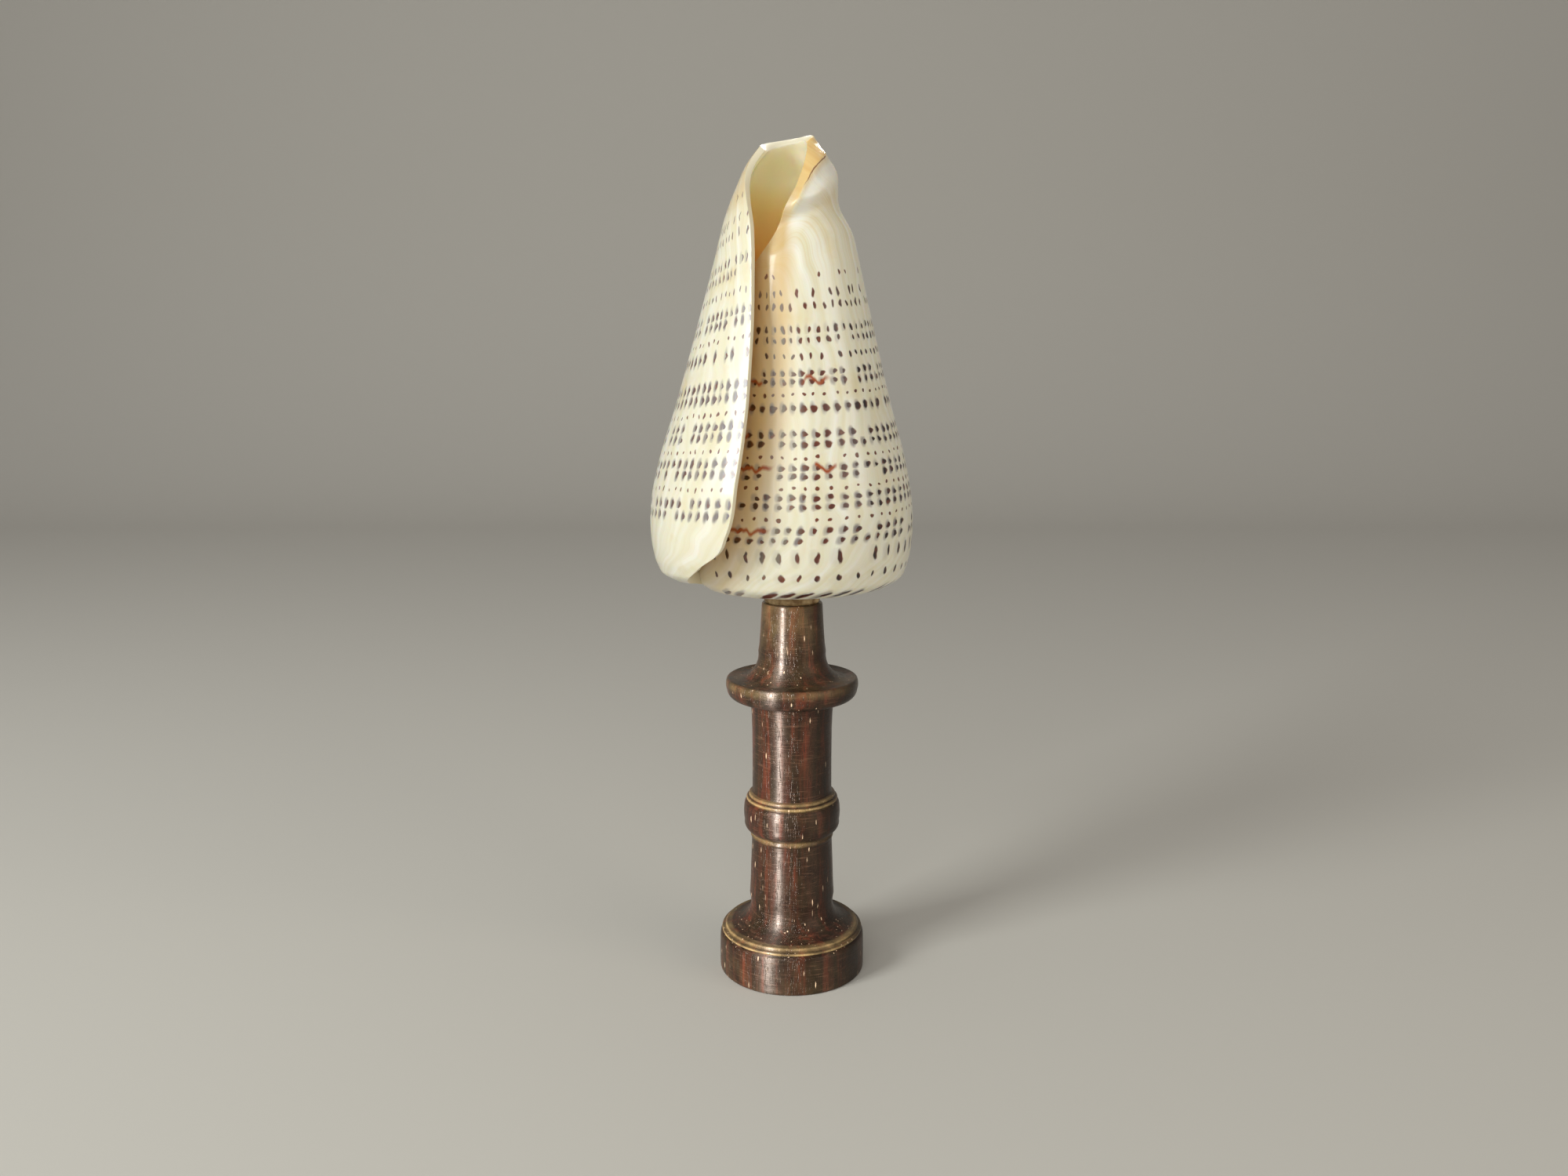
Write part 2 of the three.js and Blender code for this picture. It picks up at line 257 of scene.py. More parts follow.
wood_shader.inputs["Specular Tint"].default_value = (1.0, 0.84, 0.74, 1)
wood_shader.inputs["Anisotropic"].default_value = 0.92
wood_shader.inputs["Anisotropic Rotation"].default_value = 0.25
pore_depth = add(tree, "Math", {0: pore_mask, 1: nick_mask}, operation="ADD")
pore_bump = add(tree, "Bump", {"Height": pore_depth, "Strength": 0.5, "Distance": 0.00006}, invert=True)
wood_bump = add(tree, "Bump", {"Height": scuffs, "Strength": 0.7, "Distance": 0.00008, "Normal": pore_bump})
tree.links.new(wood_bump, wood_shader.inputs["Normal"])

stand = place("stand_turned", spun_mesh("stand_turned", stand_profile, 128), rosewood)
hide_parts("turned_stand")

# ---------------------------------------------------------------- the mounting wax
# A bed of old brown wax, melted onto the end of the neck and pressed up into the hollow round the spire. It
# squeezed out unevenly, so its rim wanders a little.

WAX_RADIUS = 7.5
WAX_SHRINK = 0.03
wax_profile = [
    (0.0, 99.45),
    (6.6, 99.45),
    *arc((7.1, 99.5), (7.45, 101.2), 0.25, 6),
    *arc((7.3, 101.55), (6.4, 101.75), 0.12, 4),
    (4.0, 101.25),
    (0.0, 100.95),
]
wax_mesh = spun_mesh("wax_bed", wax_profile, 64)
for vertex in wax_mesh.vertices:
    reach = math.hypot(vertex.co.x, vertex.co.y) / (WAX_RADIUS * MM)
    wander = noise.noise(vertex.co * 420)
    vertex.co.x *= 1 - WAX_SHRINK * reach * (1 + wander)
    vertex.co.y *= 1 - WAX_SHRINK * reach * (1 + wander)

# Old beeswax: cloudy brown with paler streaks, half matt, and a little light passes into it.
brown_wax, tree, wax_shader = new_material("brown_wax")
place_3d = add(tree, "TexCoord", out=3)
wax_cloud = add(tree, "TexNoise", {"Vector": place_3d, "Scale": 500.0, "Detail": 4.0})
wax_colour = add(tree, "ValToRGB", {0: wax_cloud}, stops=[(0.35, "#7d5e34"), (0.65, "#cbb184")])
tree.links.new(wax_colour, wax_shader.inputs["Base Color"])
wax_shader.inputs["Roughness"].default_value = 0.5
wax_shader.inputs["Subsurface Weight"].default_value = 0.2
wax_shader.inputs["Subsurface Radius"].default_value = (0.002, 0.0012, 0.0006)
wax_bump = add(tree, "Bump", {"Height": wax_cloud, "Strength": 0.5, "Distance": 0.0002})
tree.links.new(wax_bump, wax_shader.inputs["Normal"])

wax = place("wax_bed", wax_mesh, brown_wax)
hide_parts("mounting_wax")

# ---------------------------------------------------------------- the cone shell
# One rolled sheet of aragonite, laid down line by line at the outer lip as the animal grew: a spire ramp, a
# round shoulder and a long tapering side, coiled right-handed, every turn 1.36 times as wide as the last.
# Its rounds are drawn in half a hundredth, so that they stay inside the flat-sided solid.

SHOULDER_Z = 104.5
SHELL_LENGTH = 110.5
GROWTH_PER_TURN = 1.36
LIP_ANGLE = 249
SUTURE_SWING = 18
FACET_SLACK = 0.9945
WALL_MAX = 3.0
WALL_MIN = 0.8


def curve_through(pairs):
    """A smooth curve through (position, value) pairs, held at its end values outside them."""
    xs, ys = zip(*pairs)
    steps = [(ys[i + 1] - ys[i]) / (xs[i + 1] - xs[i]) for i in range(len(xs) - 1)]
    slopes = [steps[0]]
    for i in range(1, len(xs) - 1):
        left, right = xs[i] - xs[i - 1], xs[i + 1] - xs[i]
        slopes.append((steps[i - 1] * right + steps[i] * left) / (left + right))
    slopes.append(steps[-1])

    def value(x):
        if x <= xs[0]:
            return ys[0]
        if x >= xs[-1]:
            return ys[-1]
        i = max(k for k in range(len(xs) - 1) if xs[k] <= x)
        width = xs[i + 1] - xs[i]
        t = (x - xs[i]) / width
        return (
            (2 * t**3 - 3 * t**2 + 1) * ys[i]
            + (t**3 - 2 * t**2 + t) * width * slopes[i]
            + (3 * t**2 - 2 * t**3) * ys[i + 1]
            + (t**3 - t**2) * width * slopes[i + 1]
        )

    return value


def smoothstep(x, low, high):
    t = min(max((x - low) / (high - low), 0), 1)
    return t * t * (3 - 2 * t)


def blend(a, b, share):
    return a + (b - a) * share


# By height above the shoulder, in millimetres: the side's radius at the lip, how many degrees the lip stands
# back there, and where the tan beside the mouth starts, which is partly stain and partly painted shade under
# the lip.
side_radius = curve_through(
    [(0, 31.6), (1.4, 34.4), (4, 36.2), (8, 37.4), (13, 38), (21, 37.6), (30, 35.6), (45, 30.6)]
    + [(65, 24.6), (80, 20.3), (90, 17.5), (97, 14.6), (103, 11.5), (107, 8.2), (110.5, 5.2)]
)
lip_setback = curve_through(
    [(0, 34), (2.5, 24), (5.5, 16), (8.6, 8), (13.6, 3.5), (28.6, 0), (57, 0.5), (67, 2)]
    + [(77, 5), (86, 9), (92.5, 14), (98, 24), (104.4, 41), (110.5, 52)]
)
mouth_tan_and_shade = curve_through(
    [(0, 374), (5, 362), (9, 356), (16, 350), (30, 345), (70, 339), (86, 340), (96, 348)]
)

# By degrees wound back from the lip: the heights of the front edge and of the shoulder.
front_edge = curve_through(
    [(0, 105), (41, 106.2), (100, 108.2), (159, 109.4), (200, 109.8), (225, 109.7), (249, 109.1)]
    + [(280, 107.6), (300, 105.5), (314, 103), (332, 97.5), (345, 92.5), (356, 87), (370, 81)]
    + [(400, 73), (460, 66), (540, 59), (720, 50)]
)
shoulder_z = curve_through(
    [(0, 3.8), (30, 2.8), (69, 1.2), (120, 0.7), (249, 0.5), (338, -0.2), (460, -0.5)]
    + [(1100, -1.6), (2000, -2.6), (3000, -3.2)]
)


def growth(back):
    return GROWTH_PER_TURN ** (-back / 360)


def front_relief(back, z):
    """The raised band and the waist below it that wind round the right side of the front end."""
    strength = smoothstep(back, 130, 240) * (1 - smoothstep(back, 380, 440))
    past_right = back - LIP_ANGLE
    band_z = 101 - 0.1 * past_right
    band_rise = blend(0.5, 1.3, smoothstep(back, 270, 335))
    band = band_rise * math.exp(-(((z - band_z) / 2.2) ** 2))
    waist_z = 92.5 - 0.045 * past_right
    waist = 1.9 * math.exp(-(((z - waist_z) / 4.6) ** 2))
    return strength * (band - waist)


def end_face(back, below_top):
    """How far the outer face slopes in to the pillar's end, which is a worn flat about 3 mm wide."""
    strength = smoothstep(back, 246, 285) * (1 - smoothstep(back, 330, 344))
    width = 3.3 + 0.5 * noise.noise(Vector((back * 0.06, 0, 4)))
    worn_in = 2.1 * max(0.0, 1 - below_top / width)
    border_swell = 0.7 * math.exp(-(((below_top - width) / 2.5) ** 2))
    return strength * (worn_in - border_swell)


def sheet_point(turned, across, share):
    """A point of the outer face in millimetres, `across` the spire ramp or `share` of the way up the side."""
    if across < 1:
        back = turned + lip_setback(0) + SUTURE_SWING * (1 - across)
        shoulder = side_radius(0) * growth(back)
        radius = blend(shoulder / GROWTH_PER_TURN - 0.4, shoulder, across)
        z = blend(shoulder_z(back + 360) + 0.6, shoulder_z(back), across) + 0.3 * math.sin(math.pi * across)
    else:
        full_height = share * SHELL_LENGTH
        back = turned + lip_setback(full_height)
        height = share * front_edge(back)
        nested = smoothstep(back, 390, 520)
        radius = growth(back) * side_radius(blend(height, full_height, nested)) + front_relief(back, height)
        radius -= end_face(back, front_edge(back) - height)
        z = height + shoulder_z(back) * (1 - share)
    radius *= FACET_SLACK
    angle = math.radians(LIP_ANGLE - back)
    return Vector((radius * math.cos(angle), radius * math.sin(angle), z)), back, z


def wall(turned, share, back, top):
    """The sheet's thickness: thin at the lip and on the hidden turns, thick where it ends in the pillar."""
    thick = blend(1.5, 2.2, smoothstep(turned, 0, 14))
    thick = blend(thick, 1.3, smoothstep(turned, 300, 420))
    pillar = smoothstep(share, 0.74, 1.0) * smoothstep(turned, 180, 250) * (1 - smoothstep(turned, 330, 400))
    thick = blend(thick, WALL_MAX, pillar)
    callus = (1 - smoothstep(share * top, 1.5, 6.5)) * (1 - smoothstep(turned, 8, 40))
    thick = blend(thick, WALL_MAX, callus)
    return max(WALL_MIN, thick - max(0.0, end_face(back, top - share * top)))


# Dot columns lie on growth lines: about 4 degrees apart by the lip, wider on the turn before, where the shell
# grew in longer strides. Each entry is a column's distance back from the lip, in degrees.
column_angles = [-4, 1, 5, 9.5, 13.5, 17, 21, 24.5, 29, 33.5, 38.5, 43]
column_angles += [43 + 5.5 * k for k in range(1, 41)]
column_angles += [268, 274, 280, 286, 292, 298, 305, 312, 320, 327, 333, 339, 345, 351, 357, 364, 371]
column_angles += [371 + 7 * k for k in range(1, 320)]


def column_at(turned):
    """The dot column that a point lies in, as a number with its share of the gap, and the gap in degrees."""
    k = max(i for i in range(len(column_angles) - 1) if column_angles[i] <= max(turned, column_angles[0]))
    gap = column_angles[k + 1] - column_angles[k]
    return k + 0.5 + (turned - column_angles[k]) / gap, gap


WOUND_BESIDE_MOUTH = 0.767
ROW_DROP = 2.84
ROW_CLOSING = 0.18


def row_height(turned, z):
    """The height that a spiral row at z has at the lip: rows close up towards the spire as they wind back."""
    wound = (1 - math.exp(-turned / 230)) / WOUND_BESIDE_MOUTH
    wound = min(wound, 1.0 + 0.15 * smoothstep(turned, 335, 520))
    return (z + ROW_DROP * wound) / (1 - ROW_CLOSING * wound)


# The whole sheet is laid for 504 degrees back from the lip, and little more than the spire's ramp after that.
# Below 13.6 mm the older dot columns stand upright, where the growth lines lean.
WHOLE_END = 504
SPIRE_END = 2760
LOW_SIDE_TOP = 13.6
FAR_BELOW_TOP = 99.0


def lay_sheet(bm, layers, columns, rows, start, end, side_top):
    """Rolls a flat grid into one stretch of the sheet and notes where every corner lies on it."""
    made = bmesh.ops.create_grid(bm, x_segments=columns, y_segments=rows, size=1.0)["verts"]
    whole = side_top == 1
    ramp_part = 0.075 if whole else 0.6
    notes = {}
    for vertex in made:
        u, v = (vertex.co.x + 1) / 2, (vertex.co.y + 1) / 2
        turned = blend(start, end, u)
        if whole:
            turned = blend(turned, end * u**1.25, 0.6)
        across = min(v / ramp_part, 1.0)
        climbed = max(0.0, (v - ramp_part) / (1 - ramp_part))
        if whole:
            share = 0.45 * climbed + 0.55 * (3 * climbed**2 - 2 * climbed**3)
        else:
            share = side_top * climbed**1.6
        point, back, z = sheet_point(turned, across, share)
        vertex.co = (point + Vector((0, 0, SHOULDER_Z))) * MM
        vertex[layers["wall"]][0] = wall(turned, share, back, front_edge(back)) / WALL_MAX
        upright = 0.0
        if z < LOW_SIDE_TOP:
            upright = smoothstep(turned, 150, 250) * (lip_setback(max(z, 2.6)) - lip_setback(LOW_SIDE_TOP))
        grown = turned if across < 1 else back - lip_setback(share * front_edge(back))
        column, gap = column_at(grown + upright)
        stride = math.radians(gap) * side_radius(max(z, 0)) * growth(back)
        top_gap = front_edge(back) * (1 - share) if across == 1 else FAR_BELOW_TOP
        # How far past the start of the tan beside the mouth a point lies: partly stain, partly painted shade
        # under the lip.
        tan = back - mouth_tan_and_shade(z)
        notes[vertex] = ((column, row_height(turned, z)), (back, z), (turned, stride), (top_gap, tan))
    laid = list({face for vertex in made for face in vertex.link_faces})
    bmesh.ops.reverse_faces(bm, faces=laid)
    for face in laid:
        face.smooth = True
        for loop in face.loops:
            for name, pair in zip(("dots", "sheet", "growth", "rim"), notes[loop.vert]):
                loop[layers[name]].uv = pair


bm = bmesh.new()
layers = {
    "wall": bm.verts.layers.deform.new(),
    "dots": bm.loops.layers.uv.new("dots"),
    "sheet": bm.loops.layers.uv.new("sheet"),
    "growth": bm.loops.layers.uv.new("growth"),
    "rim": bm.loops.layers.uv.new("rim"),
}
lay_sheet(bm, layers, columns=280, rows=120, start=0, end=WHOLE_END, side_top=1)
lay_sheet(bm, layers, columns=380, rows=10, start=WHOLE_END - 6, end=SPIRE_END, side_top=0.03)
shell_mesh = bpy.data.meshes.new("shell_sheet")
bm.to_mesh(shell_mesh)
bm.free()

# Outside: polished cream aragonite with rows of rust to black dots, each crisp on its younger side and smoked
# grey-violet on the older side. Growth lines run from end to end, about 0.6 mm apart.
glaze, tree, glaze_shader = new_material("dotted_shell_glaze")
place_3d = add(tree, "TexCoord", out=3)
dots_map = add(tree, "UVMap", uv_map="dots")
sheet_map = add(tree, "UVMap", uv_map="sheet")
growth_map = add(tree, "UVMap", uv_map="growth")
column = add(tree, "SeparateXYZ", {0: dots_map}, out=0)
row_z = add(tree, "SeparateXYZ", {0: dots_map}, out=1)
back_angle = add(tree, "SeparateXYZ", {0: sheet_map}, out=0)
side_z = add(tree, "SeparateXYZ", {0: sheet_map}, out=1)
turned = add(tree, "SeparateXYZ", {0: growth_map}, out=0)
stride = add(tree, "SeparateXYZ", {0: growth_map}, out=1)

# The rows: height at the lip, a dot's half height and half width, all in millimetres, and how far its ends
# sweep back. A ramp picks the row that a point belongs to, and hands on these four numbers as a colour.
RAMP_DOT = 10.0
dot_rows = [
    (4.3, 1.05, 1.2, 0.0),
    (10.0, 1.25, 0.58, 0.0),
    (16.2, 1.95, 0.6, 0.0),
    (21.0, 0.92, 0.72, 0.2),
    (23.9, 0.95, 0.75, 0.2),
    (27.2, 0.62, 0.52, 0.0),
    (30.7, 0.9, 0.78, 0.3),
    (33.2, 0.9, 0.78, 0.3),
    (36.0, 0.62, 0.52, 0.0),
    (39.2, 0.9, 0.76, 0.3),
    (41.6, 0.9, 0.76, 0.3),
    (44.5, 0.62, 0.52, 0.0),
    (48.2, 1.0, 0.82, 0.3),
    (51.0, 1.0, 0.82, 0.3),
    (58.2, 1.15, 0.9, 0.3),
    (62.0, 0.58, 0.54, 0.0),
    (65.6, 0.95, 0.72, 0.25),
    (68.0, 0.9, 0.7, 0.25),
    (72.7, 0.95, 0.56, 0.0),
    (77.2, 1.0, 0.62, 0.0),
    (80.1, 1.15, 0.62, 0.0),
    (86.6, 1.2, 0.55, 0.0),
    (90.3, 1.3, 0.55, 0.0),
    (95.2, 0.8, 0.5, 0.0),
]
row_starts = [0.0] + [(low[0] + high[0]) / (2 * RAMP_MM) for low, high in zip(dot_rows, dot_rows[1:])]
row_stops = [
    (start, (z / RAMP_MM, tall / RAMP_DOT, wide / RAMP_DOT, swept))
    for start, (z, tall, wide, swept) in zip(row_starts, dot_rows)
]
shape_noise = add(tree, "TexNoise", {"Vector": place_3d, "Scale": 560.0, "Detail": 0.5}, out=1)
shape_x = add(tree, "SeparateXYZ", {0: shape_noise}, out=0)
shape_y = add(tree, "SeparateXYZ", {0: shape_noise}, out=1)
row_wobble = add(tree, "MapRange", {0: shape_y, 1: 0.2, 2: 0.8, 3: -0.3, 4: 0.3}, clamp=False)
wobbled_z = add(tree, "Math", {0: row_z, 1: row_wobble}, operation="ADD")
row_pick = add(tree, "Math", {0: wobbled_z, 1: 1 / RAMP_MM}, operation="MULTIPLY")
row_ramp = add(tree, "ValToRGB", {0: row_pick}, stops=row_stops).node
row_ramp.color_ramp.interpolation = "CONSTANT"
row_parts = add(tree, "SeparateColor", {0: row_ramp.outputs[0]}).node
row_middle = add(tree, "Math", {0: row_parts.outputs[0], 1: RAMP_MM}, operation="MULTIPLY")
dot_tall = add(tree, "Math", {0: row_parts.outputs[1], 1: RAMP_DOT}, operation="MULTIPLY")
dot_wide = add(tree, "Math", {0: row_parts.outputs[2], 1: RAMP_DOT}, operation="MULTIPLY")
from_row = add(tree, "Math", {0: wobbled_z, 1: row_middle}, operation="SUBTRACT")

# Where the point lies in its own dot's cell, in millimetres towards the lip and up the side.
low_row = add(tree, "Math", {0: row_middle, 1: 18.0}, operation="LESS_THAN")
spread = add(tree, "MapRange", {0: low_row, 3: 1.0, 4: 0.68})
row_column = add(tree, "Math", {0: column, 1: spread}, operation="MULTIPLY")
stride = add(tree, "Math", {0: stride, 1: spread}, operation="DIVIDE")
cell = add(tree, "Math", {0: row_column}, operation="FLOOR")
in_cell = add(tree, "Math", {0: row_column}, operation="FRACT")
cell_key = add(tree, "CombineXYZ", {0: cell, 1: row_middle})
dice = add(tree, "TexWhiteNoise", {0: cell_key}).node
die = add(tree, "SeparateColor", {0: dice.outputs[1]}).node
to_younger = add(tree, "Math", {0: 0.5, 1: in_cell}, operation="SUBTRACT")
across_mm = add(tree, "Math", {0: to_younger, 1: stride}, operation="MULTIPLY")
shift = add(tree, "MapRange", {0: die.outputs[0], 3: -0.22, 4: 0.22})
lift = add(tree, "MapRange", {0: die.outputs[1], 3: -0.25, 4: 0.25})
edge_wobble = add(tree, "MapRange", {0: shape_x, 1: 0.2, 2: 0.8, 3: -0.36, 4: 0.36}, clamp=False)
across_dot = add(tree, "Math", {0: across_mm, 1: shift}, operation="ADD")
across_dot = add(tree, "Math", {0: across_dot, 1: edge_wobble}, operation="ADD")
up_dot = add(tree, "Math", {0: from_row, 1: lift}, operation="ADD")
up_abs = add(tree, "Math", {0: up_dot}, operation="ABSOLUTE")
swept = add(tree, "Math", {0: up_abs, 1: row_ramp.outputs[1], 2: across_dot}, operation="MULTIPLY_ADD")
narrowed = add(tree, "MapRange", {0: stride, 1: 1.4, 2: 3.4, 3: 0.62, 4: 1.1})
slim = add(tree, "MapRange", {0: turned, 1: 60.0, 2: 240.0, 3: 0.64, 4: 1.0})
narrowed = add(tree, "Math", {0: narrowed, 1: slim}, operation="MULTIPLY")
local_wide = add(tree, "Math", {0: dot_wide, 1: narrowed}, operation="MULTIPLY")
rel_x = add(tree, "Math", {0: swept, 1: local_wide}, operation="DIVIDE")
rel_y = add(tree, "Math", {0: up_dot, 1: dot_tall}, operation="DIVIDE")
rel = add(tree, "CombineXYZ", {0: rel_x, 1: rel_y})
rel_distance = add(tree, "VectorMath", {0: rel}, out=1, operation="LENGTH")
dot_size = add(tree, "MapRange", {0: die.outputs[2], 3: 0.7, 4: 1.05})
sized = add(tree, "Math", {0: rel_distance, 1: dot_size}, operation="DIVIDE")
dot_mask = add(tree, "MapRange", {0: sized, 1: 1.22, 2: 0.72}, interpolation_type="SMOOTHSTEP")

# A few dots never formed. Near the lip the rows below 18 mm are missing, and above 84 mm more and more dots
# are. None lies on the front rim, on the spire or where the sheet winds into the mouth.
young = add(tree, "MapRange", {0: turned, 1: 120.0, 2: 250.0, 3: 1.0, 4: 0.0})
missing_low = add(tree, "Math", {0: young, 1: low_row}, operation="MULTIPLY")
high_row = add(tree, "MapRange", {0: row_middle, 1: 84.0, 2: 97.0, 3: 0.0, 4: 0.6})
missing = add(tree, "Math", {0: missing_low, 1: 0.95, 2: 0.08}, operation="MULTIPLY_ADD")
missing = add(tree, "Math", {0: missing, 1: high_row}, operation="ADD")
present = add(tree, "Math", {0: dice.outputs[0], 1: missing}, operation="GREATER_THAN")
below_rim = add(tree, "Math", {0: row_z, 1: 97.5}, operation="LESS_THAN")
off_spire = add(tree, "Math", {0: side_z, 1: -0.6}, operation="GREATER_THAN")
outside_mouth = add(tree, "Math", {0: back_angle, 1: 384.0}, operation="LESS_THAN")
present = add(tree, "Math", {0: present, 1: below_rim}, operation="MULTIPLY")
present = add(tree, "Math", {0: present, 1: off_spire}, operation="MULTIPLY")
present = add(tree, "Math", {0: present, 1: outside_mouth}, operation="MULTIPLY")
dot_mask = add(tree, "Math", {0: dot_mask, 1: present}, operation="MULTIPLY")

# The smoke behind each large dot, which links the dots of a pair.
smoke_x = add(tree, "Math", {0: to_younger, 1: 0.2}, operation="ADD")
smoke_x = add(tree, "Math", {0: smoke_x, 1: 0.29}, operation="DIVIDE")
smoke_tall = add(tree, "Math", {0: dot_tall, 1: 1.6}, operation="MULTIPLY")
smoke_y = add(tree, "Math", {0: from_row, 1: smoke_tall}, operation="DIVIDE")
smoke_place = add(tree, "CombineXYZ", {0: smoke_x, 1: smoke_y})
smoke_distance = add(tree, "VectorMath", {0: smoke_place}, out=1, operation="LENGTH")
smoke = add(tree, "MapRange", {0: smoke_distance, 1: 1.3, 2: 0.4}, interpolation_type="SMOOTHSTEP")
big_dot = add(tree, "MapRange", {0: dot_wide, 1: 0.56, 2: 0.72})
smoke = add(tree, "Math", {0: smoke, 1: big_dot}, operation="MULTIPLY")
smoke = add(tree, "Math", {0: smoke, 1: present}, operation="MULTIPLY")
column_dice = add(tree, "TexWhiteNoise", {1: cell}, noise_dimensions="1D")
smoke_amount = add(tree, "MapRange", {0: column_dice, 3: 0.5, 4: 1.0})
smoke = add(tree, "Math", {0: smoke, 1: smoke_amount}, operation="MULTIPLY")

# Rust threads wander from dot to dot along four of the rows, over a short stretch beside the mouth.
thread_wander = add(tree, "TexNoise", {"W": turned, "Scale": 0.16, "Detail": 1.0}, noise_dimensions="1D")
thread_swing = add(tree, "MapRange", {0: thread_wander, 1: 0.3, 2: 0.7, 3: -1.1, 4: 1.1})
thread_z = add(tree, "Math", {0: row_z, 1: thread_swing}, operation="ADD")
thread_z = add(tree, "Math", {0: thread_z, 1: 1 / RAMP_MM}, operation="MULTIPLY")
THREAD_EDGE = 0.0092
THREAD_CORE = 0.002
thread_stops = []
for row in (0.239, 0.416, 0.508, 0.661):
    thread_stops += [(row - THREAD_EDGE, black), (row - THREAD_CORE, white)]
    thread_stops += [(row + THREAD_CORE, white), (row + THREAD_EDGE, black)]
thread_rows = add(tree, "ValToRGB", {0: thread_z}, stops=thread_stops)

# A ramp spans 400 degrees of growth.
RAMP_DEGREES = 400.0
turn_share = add(tree, "Math", {0: turned, 1: 1 / RAMP_DEGREES}, operation="MULTIPLY")
thread_reach = add(
    tree,
    "ValToRGB",
    {0: turn_share},
    stops=[(0.785, black), (0.797, white), (0.825, white), (0.835, black)]
    + [(0.872, black), (0.882, white), (0.93, white)],
)
thread_gaps = add(tree, "TexNoise", {"Vector": place_3d, "Scale": 150.0, "Detail": 0.0})
thread_gate = add(tree, "MapRange", {0: thread_gaps, 1: 0.46, 2: 0.52})
thread = add(tree, "Math", {0: thread_rows, 1: thread_reach}, operation="MULTIPLY")
thread = add(tree, "Math", {0: thread, 1: thread_gate}, operation="MULTIPLY")

# Colours: warm cream with ivory bands and straw growth lines, golden beside the mouth, partly stain and
# partly painted shade under the lip, and tan at the tip.
bend_noise = add(tree, "TexNoise", {"Vector": place_3d, "Scale": 45.0, "Detail": 2.0})
bend = add(tree, "MapRange", {0: bend_noise, 1: 0.3, 2: 0.7, 3: -7.0, 4: 7.0}, clamp=False)
bent_turn = add(tree, "Math", {0: turned, 1: bend}, operation="ADD")
line_z = add(tree, "Math", {0: side_z, 1: 0.02}, operation="MULTIPLY")
line_place = add(tree, "CombineXYZ", {0: bent_turn, 1: line_z})
fine_lines = add(tree, "TexNoise", {"Vector": line_place, "Scale": 2.2, "Detail": 3.0, "Roughness": 0.7})
broad_bands = add(tree, "TexNoise", {"Vector": line_place, "Scale": 0.15, "Detail": 1.5})
ground_stops = [(0.34, "#eae4c8"), (0.5, "#f0ecd8"), (0.66, "#f6f4e8")]
ground = add(tree, "ValToRGB", {0: broad_bands}, stops=ground_stops)
line_mask = add(tree, "MapRange", {0: fine_lines, 1: 0.52, 2: 0.75, 3: 0.0, 4: 0.22})
lined = add(tree, "Mix", {0: line_mask, 6: ground, 7: colour("#dccb9c")}, out=2, data_type="RGBA")
fan_noise = add(tree, "TexNoise", {"Vector": line_place, "Scale": 0.7, "Detail": 2.0})
fan_strength = add(tree, "MapRange", {0: side_z, 1: 66.0, 2: 88.0, 3: 0.09, 4: 0.5})
fan_lines = add(tree, "MapRange", {0: fan_noise, 1: 0.5, 2: 0.66})
fan_lines = add(tree, "Math", {0: fan_lines, 1: fan_strength}, operation="MULTIPLY")
lined = add(tree, "Mix", {0: fan_lines, 6: lined, 7: colour("#e2cd9c")}, out=2, data_type="RGBA")
stain_noise = add(tree, "TexNoise", {"Vector": place_3d, "Scale": 75.0, "Detail": 4.0, "Roughness": 0.6})
stain = add(tree, "MapRange", {0: stain_noise, 1: 0.56, 2: 0.72, 3: 0.0, 4: 0.45})
stained = add(tree, "Mix", {0: stain, 6: lined, 7: colour("#e2d19a")}, out=2, data_type="RGBA")
tip_tan = add(tree, "MapRange", {0: side_z, 1: 84.0, 2: 104.0, 3: 0.0, 4: 1.0})
tip_patches = add(tree, "MapRange", {0: stain_noise, 1: 0.38, 2: 0.6, 3: 0.15, 4: 0.7})
tip_tan = add(tree, "Math", {0: tip_tan, 1: tip_patches}, operation="MULTIPLY")
tipped = add(tree, "Mix", {0: tip_tan, 6: stained, 7: colour("#dab878")}, out=2, data_type="RGBA")
rim_map = add(tree, "UVMap", uv_map="rim")
past_edge = add(tree, "SeparateXYZ", {0: rim_map}, out=1)
# Beside the mouth the outside is painted tan: partly stain, partly painted warm shade where the lip shades
# it.
tan_and_shade_by_mouth = add(
    tree,
    "MapRange",
    {0: past_edge, 1: -7.0, 2: 11.0, 3: 0.0, 4: 0.78},
    interpolation_type="SMOOTHSTEP",
)
tan_and_shade_fade = add(tree, "MapRange", {0: side_z, 1: 8.0, 2: 40.0, 3: 0.5, 4: 1.0})
tan_and_shade_by_mouth = add(tree, "Math", {0: tan_and_shade_by_mouth, 1: tan_and_shade_fade}, operation="MULTIPLY")
tanned_and_shaded = add(tree, "Mix", {0: tan_and_shade_by_mouth, 6: tipped, 7: colour("#d4b06c")}, out=2, data_type="RGBA")
smoke_tint = add(tree, "Mix", {0: smoke, 6: tanned_and_shaded, 7: colour("#857c7d")}, out=2, data_type="RGBA")
dot_tone = add(
    tree,
    "ValToRGB",
    {0: turn_share},
    stops=[
        (0.00, "#8f8c92"),
        (0.03, "#8a8082"),
        (0.07, "#6c5450"),
        (0.30, "#5a3a36"),
        (0.62, "#1c0d0c"),
        (0.735, "#1c0d0c"),
        (0.765, "#3c1917"),
        (0.80, "#5c2a20"),
        (0.828, "#6a3526"),
        (0.845, "#7b7064"),
        (0.868, "#857a6a"),
        (0.885, "#3c1c12"),
        (0.93, "#26100b"),
    ],
)
tone_noise = add(tree, "TexNoise", {"Vector": place_3d, "Scale": 520.0, "Detail": 1.0})
